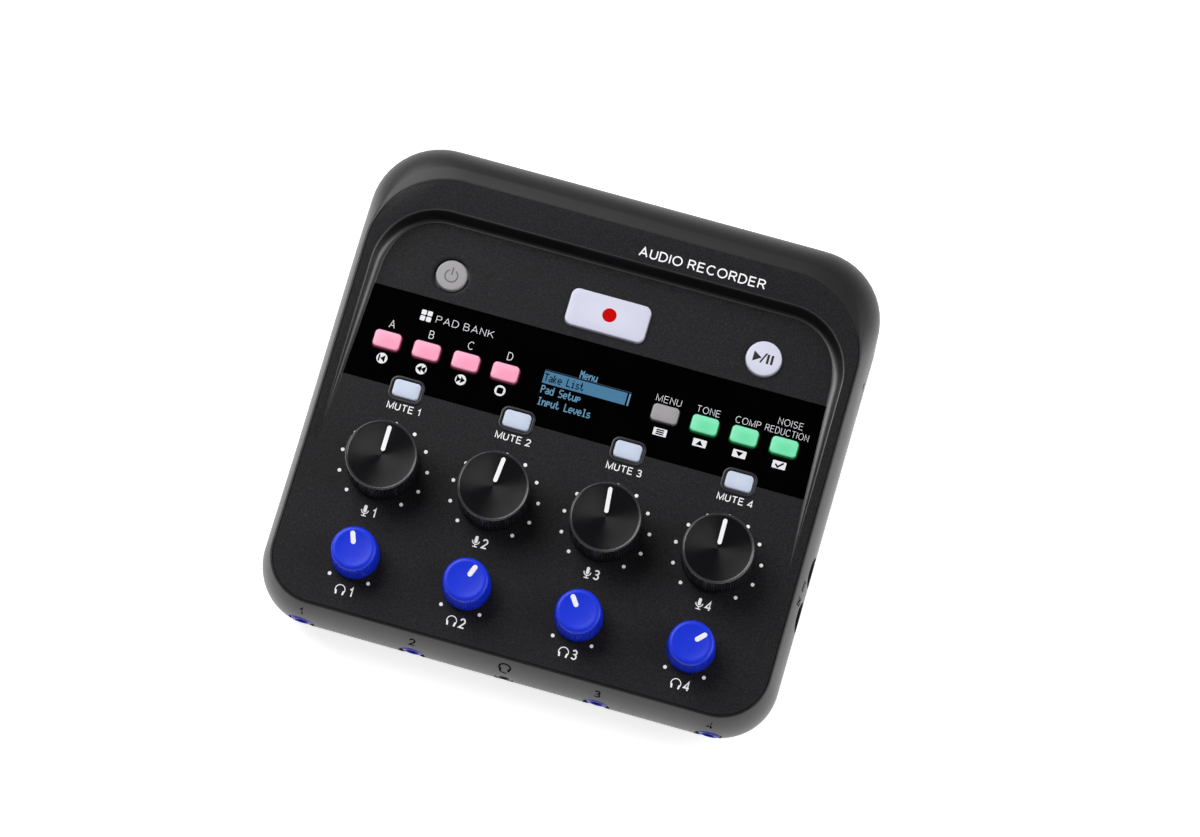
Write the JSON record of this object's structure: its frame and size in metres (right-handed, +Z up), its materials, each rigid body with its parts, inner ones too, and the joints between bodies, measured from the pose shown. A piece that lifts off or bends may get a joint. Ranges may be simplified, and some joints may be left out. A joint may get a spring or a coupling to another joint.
{
  "type": "podcast recorder",
  "caption": "Small square desktop podcast recorder: large and small dial knobs, lit keys, a display strip, a raised rim round the back, jacks in front and microphone sockets behind.",
  "frame": {"origin": "on the table under the middle of the case, where the feet rest", "axes": "+X to the user's right, +Y from the front edge, where the user sits, to the back with the microphone sockets, +Z up"},
  "size_m": [0.1618, 0.1529, 0.0447],
  "materials": {
    "deck_plastic": "fine-grained moulded plastic, nearly black",
    "base_plastic": "fine-grained moulded plastic, nearly black",
    "gloss_strip": "glossy black sheet, printed from behind",
    "display_glass": "dark display module behind the strip",
    "knob_black": "satin, turned top, fine ribs on the side",
    "knob_blue": "satin blue, fine ribs on the side",
    "key_pink": "translucent, lit from below",
    "key_green": "translucent, lit from below",
    "key_mute": "translucent, pale",
    "key_white": "translucent, pale",
    "key_grey": "satin grey",
    "steel": "turned or pressed",
    "socket_black": "moulded plastic, black",
    "board_green": "circuit board with solder mask",
    "foot_rubber": "soft, matt",
    "cell_jacket": "plain jacket"
  },
  "bodies": {
    "case": {"top_cover": "deck_plastic", "base_cover": "base_plastic", "battery_cell_1": "cell_jacket", "battery_cell_2": "cell_jacket", "main_board": "board_green", "socket_board": "board_green", "display_strip": "gloss_strip", "display_module": "display_glass", "headphone_jack_1": "socket_black", "headphone_jack_2": "socket_black", "headphone_jack_3": "socket_black", "headphone_jack_4": "socket_black", "headset_jack": "socket_black", "usb_port_1": "steel", "usb_port_2": "steel", "mic_socket_1": "socket_black", "mic_socket_2": "socket_black", "mic_socket_3": "socket_black", "mic_socket_4": "socket_black", "foot_1": "foot_rubber", "foot_2": "foot_rubber", "foot_3": "foot_rubber", "foot_4": "foot_rubber", "case_screw_1": "steel", "case_screw_2": "steel", "case_screw_3": "steel", "case_screw_4": "steel"},
    "mic_dial_1": {"mic_knob_1": "knob_black", "mic_shaft_1": "steel"},
    "mic_dial_2": {"mic_knob_2": "knob_black", "mic_shaft_2": "steel"},
    "mic_dial_3": {"mic_knob_3": "knob_black", "mic_shaft_3": "steel"},
    "mic_dial_4": {"mic_knob_4": "knob_black", "mic_shaft_4": "steel"},
    "headphone_dial_1": {"headphone_knob_1": "knob_blue", "headphone_shaft_1": "steel"},
    "headphone_dial_2": {"headphone_knob_2": "knob_blue", "headphone_shaft_2": "steel"},
    "headphone_dial_3": {"headphone_knob_3": "knob_blue", "headphone_shaft_3": "steel"},
    "headphone_dial_4": {"headphone_knob_4": "knob_blue", "headphone_shaft_4": "steel"},
    "pad_key_a": {"pad_key_a": "key_pink"},
    "pad_key_b": {"pad_key_b": "key_pink"},
    "pad_key_c": {"pad_key_c": "key_pink"},
    "pad_key_d": {"pad_key_d": "key_pink"},
    "menu_key": {"menu_key": "key_grey"},
    "tone_key": {"tone_key": "key_green"},
    "comp_key": {"comp_key": "key_green"},
    "noise_key": {"noise_key": "key_green"},
    "mute_key_1": {"mute_key_1": "key_mute"},
    "mute_key_2": {"mute_key_2": "key_mute"},
    "mute_key_3": {"mute_key_3": "key_mute"},
    "mute_key_4": {"mute_key_4": "key_mute"},
    "power_button": {"power_button": "key_grey"},
    "record_button": {"record_button": "key_white"},
    "play_button": {"play_button": "key_white"},
    "battery_door": {"battery_door": "base_plastic"},
    "card_cover": {"card_cover": "base_plastic"}
  },
  "joints": [
    {"name": "mic_dial_1_turn", "type": "hinge", "parent": "case", "child": "mic_dial_1", "pos_m": [-0.0525, -0.0268, 0.03], "axis": [0, -0.0872, 0.9962], "range_deg": [-140, 140]},
    {"name": "mic_dial_2_turn", "type": "hinge", "parent": "case", "child": "mic_dial_2", "pos_m": [-0.0175, -0.0268, 0.03], "axis": [0, -0.0872, 0.9962], "range_deg": [-135, 145]},
    {"name": "mic_dial_3_turn", "type": "hinge", "parent": "case", "child": "mic_dial_3", "pos_m": [0.0175, -0.0268, 0.03], "axis": [0, -0.0872, 0.9962], "range_deg": [-146, 134]},
    {"name": "mic_dial_4_turn", "type": "hinge", "parent": "case", "child": "mic_dial_4", "pos_m": [0.0525, -0.0268, 0.03], "axis": [0, -0.0872, 0.9962], "range_deg": [-141, 139]},
    {"name": "headphone_dial_1_turn", "type": "hinge", "parent": "case", "child": "headphone_dial_1", "pos_m": [-0.0525, -0.05594, 0.02745], "axis": [0, -0.0872, 0.9962], "range_deg": [-160, 120]},
    {"name": "headphone_dial_2_turn", "type": "hinge", "parent": "case", "child": "headphone_dial_2", "pos_m": [-0.0175, -0.05594, 0.02745], "axis": [0, -0.0872, 0.9962], "range_deg": [-119, 161]},
    {"name": "headphone_dial_3_turn", "type": "hinge", "parent": "case", "child": "headphone_dial_3", "pos_m": [0.0175, -0.05594, 0.02745], "axis": [0, -0.0872, 0.9962], "range_deg": [-176, 104]},
    {"name": "headphone_dial_4_turn", "type": "hinge", "parent": "case", "child": "headphone_dial_4", "pos_m": [0.0525, -0.05594, 0.02745], "axis": [0, -0.0872, 0.9962], "range_deg": [-95, 185]},
    {"name": "pad_key_a_press", "type": "slide", "parent": "case", "child": "pad_key_a", "axis": [0, -0.0872, 0.9962], "range_m": [-0.0005, 0], "stiffness_N_per_m": 1200},
    {"name": "pad_key_b_press", "type": "slide", "parent": "case", "child": "pad_key_b", "axis": [0, -0.0872, 0.9962], "range_m": [-0.0005, 0], "stiffness_N_per_m": 1200},
    {"name": "pad_key_c_press", "type": "slide", "parent": "case", "child": "pad_key_c", "axis": [0, -0.0872, 0.9962], "range_m": [-0.0005, 0], "stiffness_N_per_m": 1200},
    {"name": "pad_key_d_press", "type": "slide", "parent": "case", "child": "pad_key_d", "axis": [0, -0.0872, 0.9962], "range_m": [-0.0005, 0], "stiffness_N_per_m": 1200},
    {"name": "menu_key_press", "type": "slide", "parent": "case", "child": "menu_key", "axis": [0, -0.0872, 0.9962], "range_m": [-0.0005, 0], "stiffness_N_per_m": 1200},
    {"name": "tone_key_press", "type": "slide", "parent": "case", "child": "tone_key", "axis": [0, -0.0872, 0.9962], "range_m": [-0.0005, 0], "stiffness_N_per_m": 1200},
    {"name": "comp_key_press", "type": "slide", "parent": "case", "child": "comp_key", "axis": [0, -0.0872, 0.9962], "range_m": [-0.0005, 0], "stiffness_N_per_m": 1200},
    {"name": "noise_key_press", "type": "slide", "parent": "case", "child": "noise_key", "axis": [0, -0.0872, 0.9962], "range_m": [-0.0005, 0], "stiffness_N_per_m": 1200},
    {"name": "mute_key_1_press", "type": "slide", "parent": "case", "child": "mute_key_1", "axis": [0, -0.0872, 0.9962], "range_m": [-0.0005, 0], "stiffness_N_per_m": 1200},
    {"name": "mute_key_2_press", "type": "slide", "parent": "case", "child": "mute_key_2", "axis": [0, -0.0872, 0.9962], "range_m": [-0.0005, 0], "stiffness_N_per_m": 1200},
    {"name": "mute_key_3_press", "type": "slide", "parent": "case", "child": "mute_key_3", "axis": [0, -0.0872, 0.9962], "range_m": [-0.0005, 0], "stiffness_N_per_m": 1200},
    {"name": "mute_key_4_press", "type": "slide", "parent": "case", "child": "mute_key_4", "axis": [0, -0.0872, 0.9962], "range_m": [-0.0005, 0], "stiffness_N_per_m": 1200},
    {"name": "power_button_press", "type": "slide", "parent": "case", "child": "power_button", "axis": [0, -0.0872, 0.9962], "range_m": [-0.0005, 0], "stiffness_N_per_m": 1200},
    {"name": "record_button_press", "type": "slide", "parent": "case", "child": "record_button", "axis": [0, -0.0872, 0.9962], "range_m": [-0.0005, 0], "stiffness_N_per_m": 1200},
    {"name": "play_button_press", "type": "slide", "parent": "case", "child": "play_button", "axis": [0, -0.0872, 0.9962], "range_m": [-0.0005, 0], "stiffness_N_per_m": 1200},
    {"name": "battery_door_slide", "type": "slide", "parent": "case", "child": "battery_door", "axis": [0, 1, 0], "range_m": [0, 0.009]},
    {"name": "card_cover_swing", "type": "hinge", "parent": "case", "child": "card_cover", "pos_m": [0.081, 0.04088, 0.02167], "axis": [0, 0.9962, 0.0872], "range_deg": [0, 75]}
  ]
}
